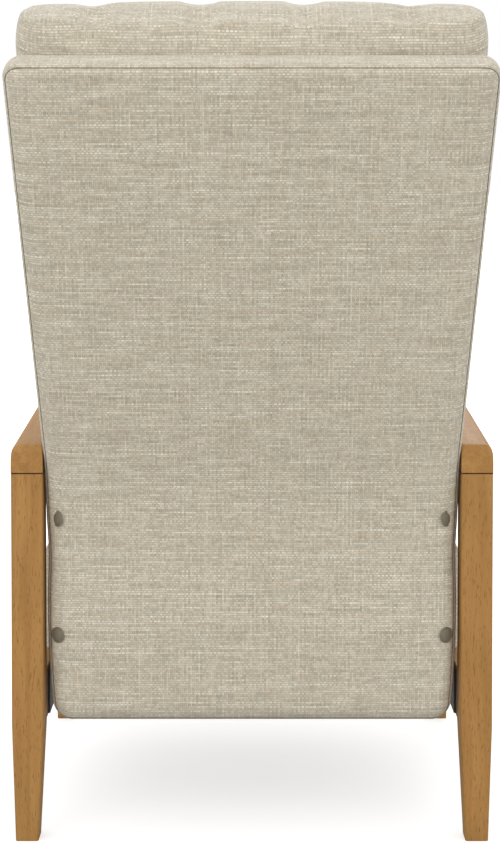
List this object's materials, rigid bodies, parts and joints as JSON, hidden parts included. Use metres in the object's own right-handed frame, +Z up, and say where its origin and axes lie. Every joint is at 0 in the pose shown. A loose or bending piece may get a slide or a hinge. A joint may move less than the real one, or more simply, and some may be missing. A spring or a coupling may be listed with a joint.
{
  "type": "power recliner",
  "caption": "Tall recliner with open wooden arms, tapered legs, woven tweed back and seat, and a motor driven linkage that leans the back and lifts the footrest.",
  "frame": {"origin": "centre of the base of the closed chair's overall box, on the floor", "axes": "+Z up, +Y the way the sitter faces, +X to the side of the hand control"},
  "size_m": [0.65, 0.8334, 1.1353],
  "materials": {
    "oak_frame": "satin honey brown oiled wood with fine open grain",
    "hidden_wood": "raw sawn pine and plywood",
    "tweed": "oatmeal woven tweed with slubbed weft",
    "webbing": "black elastic webbing",
    "linkage_steel": "zinc plated pressed steel",
    "pin_steel": "bright turned steel",
    "track_aluminium": "extruded, clear anodised",
    "black_moulding": "fine textured black nylon",
    "taupe_cap": "moulded taupe plastic",
    "button_plastic": "moulded grey plastic"
  },
  "bodies": {
    "frame": {"back_pivot_pins": "pin_steel", "control_pod": "black_moulding", "drive_motor": "black_moulding", "drive_track": "track_aluminium", "front_cross_rail": "hidden_wood", "gearbox": "black_moulding", "left_arm": "oak_frame", "left_front_leg": "oak_frame", "left_rear_leg": "oak_frame", "left_side_panel": "tweed", "left_side_plate": "linkage_steel", "left_side_rail": "oak_frame", "power_inlet": "black_moulding", "rear_cross_rail": "hidden_wood", "right_arm": "oak_frame", "right_front_leg": "oak_frame", "right_rear_leg": "oak_frame", "right_side_panel": "tweed", "right_side_plate": "linkage_steel", "right_side_rail": "oak_frame", "seat_cushion": "tweed", "seat_front_rail": "hidden_wood", "seat_left_rail": "hidden_wood", "seat_rear_rail": "hidden_wood", "seat_right_rail": "hidden_wood", "seat_webbing": "webbing", "side_plate_bolts": "pin_steel", "track_brackets": "linkage_steel"},
    "back": {"back_shell": "tweed", "left_back_post": "hidden_wood", "right_back_post": "hidden_wood", "back_bottom_rail": "hidden_wood", "back_top_rail": "hidden_wood", "back_cushion": "tweed", "tuft_buttons": "tweed", "back_bolts": "pin_steel", "back_caps": "taupe_cap", "left_back_bracket": "linkage_steel", "right_back_bracket": "linkage_steel"},
    "drive": {"torque_tube": "linkage_steel", "crank": "linkage_steel", "left_drive_bar": "linkage_steel", "right_drive_bar": "linkage_steel", "drive_pins": "pin_steel"},
    "cross_links": {"left_cross_bar": "linkage_steel", "right_cross_bar": "linkage_steel", "cross_pins": "pin_steel", "cross_shaft": "pin_steel"},
    "footrest": {"left_footrest_bar": "linkage_steel", "right_footrest_bar": "linkage_steel", "footrest_board": "hidden_wood", "footrest_pad": "tweed"},
    "ties": {"tie_links": "linkage_steel", "tie_pins": "pin_steel"},
    "carriage": {"drive_beam": "linkage_steel", "push_rods": "linkage_steel", "drive_nut": "black_moulding"},
    "screw": {"lead_screw": "pin_steel"},
    "recline_key": {"recline_button": "button_plastic"},
    "return_key": {"return_button": "button_plastic"}
  },
  "joints": [
    {"name": "back_recline", "type": "hinge", "parent": "frame", "child": "back", "pos_m": [0, -0.04826, 0.339], "axis": [1, 0, 0], "range_deg": [0, 40]},
    {"name": "fold_drive", "type": "hinge", "parent": "frame", "child": "drive", "pos_m": [0, 0.27674, 0.172], "axis": [1, 0, 0], "range_deg": [-78.5, 0]},
    {"name": "cross_fold", "type": "hinge", "parent": "drive", "child": "cross_links", "pos_m": [0, 0.24548, 0.26277], "axis": [1, 0, 0], "range_deg": [0, 157]},
    {"name": "footrest_fold", "type": "hinge", "parent": "drive", "child": "footrest", "pos_m": [0, 0.21423, 0.35354], "axis": [1, 0, 0], "range_deg": [0, 157]},
    {"name": "tie_fold", "type": "hinge", "parent": "cross_links", "child": "ties", "pos_m": [0, 0.29493, 0.18048], "axis": [1, 0, 0], "range_deg": [-157, 0]},
    {"name": "carriage_slide", "type": "slide", "parent": "frame", "child": "carriage", "axis": [0, 1, 0], "range_m": [0, 0.09008]},
    {"name": "screw_spin", "type": "hinge", "parent": "frame", "child": "screw", "pos_m": [0, 0.05874, 0.2415], "axis": [0, 1, 0], "range_deg": [0, 1079.93]},
    {"name": "recline_press", "type": "slide", "parent": "frame", "child": "recline_key", "axis": [-1, 0, 0], "range_m": [0, 0.0025], "stiffness_N_per_m": 400},
    {"name": "return_press", "type": "slide", "parent": "frame", "child": "return_key", "axis": [-1, 0, 0], "range_m": [0, 0.0025], "stiffness_N_per_m": 400}
  ],
  "couplings": [
    {"joint": "fold_drive", "follows": "back_recline", "ratio": -1.95},
    {"joint": "cross_fold", "follows": "back_recline", "ratio": 3.9},
    {"joint": "footrest_fold", "follows": "back_recline", "ratio": 3.9},
    {"joint": "tie_fold", "follows": "back_recline", "ratio": -3.9},
    {"joint": "carriage_slide", "follows": "back_recline", "m_per_rad": 0.12831},
    {"joint": "screw_spin", "follows": "back_recline", "ratio": 26.873}
  ]
}
